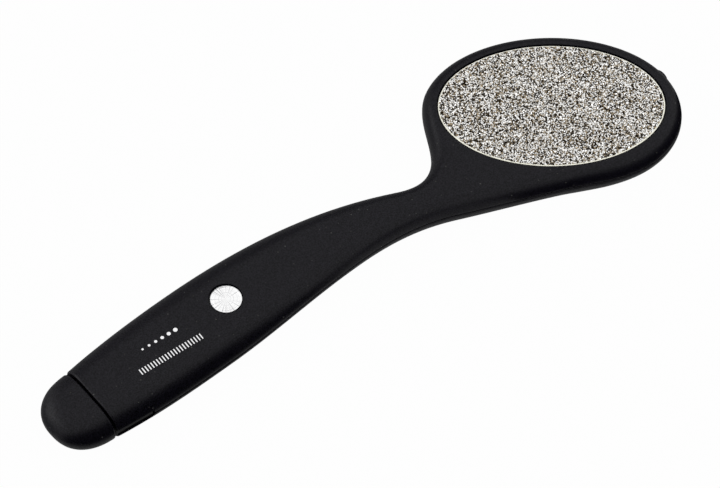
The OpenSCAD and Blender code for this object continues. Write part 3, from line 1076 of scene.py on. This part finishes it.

# Cards that stand on the floor and are seen only in mirrored rays, as painted dark and grey
# reflections in the glossy black. As posts: place along and across, and the card's height there, in mm
near_card = ((-172, 12, 8), (-163, -12, 40), (-145, -33, 70), (-115, -46, 84), (-80, -48, 84),
             (-45, -48, 74), (-18, -48, 44), (0, -48, 4))
head_card = ((-100, -995, 10), (0, -1000, 120), (342, -940, 90), (643, -766, 80), (866, -500, 80),
             (985, -174, 50))
far_card = ((1200, 40, 250), (1130, 410, 440), (920, 770, 530), (690, 980, 1080), (410, 1130, 1240),
            (170, 1190, 940), (-100, 1200, 170))
# Painted reflection tones: black for the near and head cards and aprons, grey for the far card
near_reflection_tone = 0.01
far_card_reflection_tone = 0.35

# Aprons on the floor, seen only in mirrored rays: painted shade of the floor near the file, black in
# front and grey behind. How far off the outline they start and between which turns they fan out
handle_apron_gap = 10 * mm
handle_apron_turns = (290, 355)
head_apron_gap = 3.5 * mm
head_apron_turns = (330, 440)
far_apron_gap = 3 * mm
far_apron_turns = (80, 250)
far_floor_tone = 0.3


def way_to(turn, rise):
    """The direction of a lamp, card or camera, with turn and rise in degrees."""
    a, e = math.radians(turn), math.radians(rise)
    return Vector((math.sin(a) * math.cos(e), -math.cos(a) * math.cos(e), math.sin(e)))


def stage_piece(name, points, faces, material):
    mesh = bpy.data.meshes.new(name)
    mesh.from_pydata(points, [], faces)
    mesh.materials.append(material)
    piece = new_object(name, mesh)
    return piece


def make_floor():
    """A white floor that keeps part of the object's shadow. It can't be seen from below."""
    made, tree = bare_material("floor")
    path = add(tree, "ShaderNodeLightPath")
    seen = reckoned(tree, "MAXIMUM", path.outputs["Is Camera Ray"], path.outputs["Is Transmission Ray"])
    seen = reckoned(tree, "MULTIPLY_ADD", path.outputs["Is Glossy Ray"], mirrored_glow, seen)
    share = reckoned(tree, "MULTIPLY", seen, floor_glow)
    lit = add(tree, "ShaderNodeBsdfDiffuse", {"Color": (floor_tone, floor_tone, floor_tone, 1)})
    white = add(tree, "ShaderNodeEmission", {"Color": (1, 1, 1, 1), "Strength": 1.0})
    mixed = add(tree, "ShaderNodeMixShader", {0: share, 1: lit.outputs[0], 2: white.outputs[0]})
    below = add(tree, "ShaderNodeNewGeometry").outputs["Backfacing"]
    clear = add(tree, "ShaderNodeBsdfTransparent")
    both = add(tree, "ShaderNodeMixShader", {0: below, 1: mixed.outputs[0], 2: clear.outputs[0]})
    add(tree, "ShaderNodeOutputMaterial", {"Surface": both.outputs[0]})
    corners = [(-floor_reach, -floor_reach), (floor_reach, -floor_reach),
               (floor_reach, floor_reach), (-floor_reach, floor_reach)]
    stage_piece("floor", [(x, y, -support) for x, y in corners], [(0, 1, 2, 3)], made)


def mirrored_only(piece):
    """Lets only mirrored rays meet a card or apron, so that it takes no light from anything and shows
    only as a painted reflection.
    """
    for rays in ("camera", "diffuse", "transmission", "shadow"):
        setattr(piece, "visible_" + rays, False)


def toned(name, tone):
    """The plain matt colour of a card or apron, which shows only in painted reflections."""
    made, tree = bare_material(name)
    lit = add(tree, "ShaderNodeBsdfDiffuse", {"Color": (tone, tone, tone, 1)})
    add(tree, "ShaderNodeOutputMaterial", {"Surface": lit.outputs[0]})
    return made


def make_card(name, posts, material):
    """A card that stands on the floor, seen only in mirrored rays as a painted reflection. Each post is a
    place and the card's height there, in mm.
    """
    points = [(x * mm, y * mm, z * mm) for x, y, top in posts for z in (0, top)]
    faces = [(i, i + 2, i + 3, i + 1) for i in range(0, len(points) - 2, 2)]
    mirrored_only(stage_piece(name, points, faces, material))


def make_apron(name, edge, gap, turns, material):
    """A sheet on the floor that fans out, between two turns, from a stretch of the outline. Only mirrored
    rays see it, so it is painted floor shade in the reflections.
    """
    inner = []
    for before, p, after in zip(edge, edge[1:], edge[2:]):
        d = unit(after - before)
        inner.append(p + gap * np.array([d[1], -d[0]]))
    fan = np.linspace(*turns, len(inner))
    outer = [p + np.array(way_to(turn, 0).xy) for p, turn in zip(inner, fan)]
    points = [(x, y, -support / 2) for x, y in inner + outer]
    count = len(inner)
    faces = [(i + 1, i, count + i, count + i + 1) for i in range(count - 1)]
    mirrored_only(stage_piece(name, points, faces, material))


def make_surroundings():
    """Black and grey cards and aprons round the file, seen only in mirrored rays: painted reflections
    and painted floor shade, from which its glossy black takes its shades.
    """
    outline = cap_path() + body_path()
    along = [p[0] for p in outline]
    end, tip = along.index(min(along)), along.index(max(along))
    near, far = outline[end:tip], outline[tip:] + outline[:end]
    black, grey = toned("near_reflected_black", near_reflection_tone), toned("far_reflected_grey", far_card_reflection_tone)
    make_card("near_card", near_card, black)
    make_card("head_card", head_card, black)
    make_card("far_card", far_card, grey)
    handle = [p for p in near if p[0] < neck_x - 2 * neck_w]
    head = [p for p in near if p[0] > neck_x + neck_w]
    # Painted floor shade in the reflections: black aprons in front of the handle and head, a grey one
    # behind
    make_apron("handle_apron", handle, handle_apron_gap, handle_apron_turns, black)
    make_apron("head_apron", head, head_apron_gap, head_apron_turns, black)
    make_apron("far_apron", far, far_apron_gap, far_apron_turns, toned("far_floor_reflected_shade", far_floor_tone))


def make_world():
    """Even white light from all round, which is also the background above the floor."""
    world = bpy.data.worlds.new("studio")
    bpy.context.scene.world = world
    world.use_nodes = True
    tree = world.node_tree
    tree.nodes.clear()
    light = add(tree, "ShaderNodeBackground", {"Color": (1, 1, 1, 1), "Strength": 1.0})
    add(tree, "ShaderNodeOutputWorld", {"Surface": light.outputs[0]})


def aimed(name, data, turn, rise, distance):
    """A lamp or camera that points at the object."""
    piece = new_object(name, data)
    way = way_to(turn, rise)
    piece.location = target + way * distance
    piece.rotation_euler = way.to_track_quat("Z", "Y").to_euler()
    return piece


def make_lamp():
    """A round softbox, low behind the handle's far side."""
    lamp = bpy.data.lights.new("softbox", "AREA")
    lamp.shape = "DISK"
    lamp.size = lamp_w
    lamp.energy = lamp_power
    aimed("softbox", lamp, lamp_turn, lamp_rise, lamp_l)


def make_camera():
    lens = bpy.data.cameras.new("camera")
    lens.lens = lens_px / photo_w * lens.sensor_width
    lens.clip_start = nearest_seen
    lens.clip_end = furthest_seen
    bpy.context.scene.camera = aimed("camera", lens, view_turn, view_rise, view_l)


bpy.context.scene.view_settings.view_transform = "Standard"
make_floor()
make_world()
make_surroundings()
make_lamp()
make_camera()
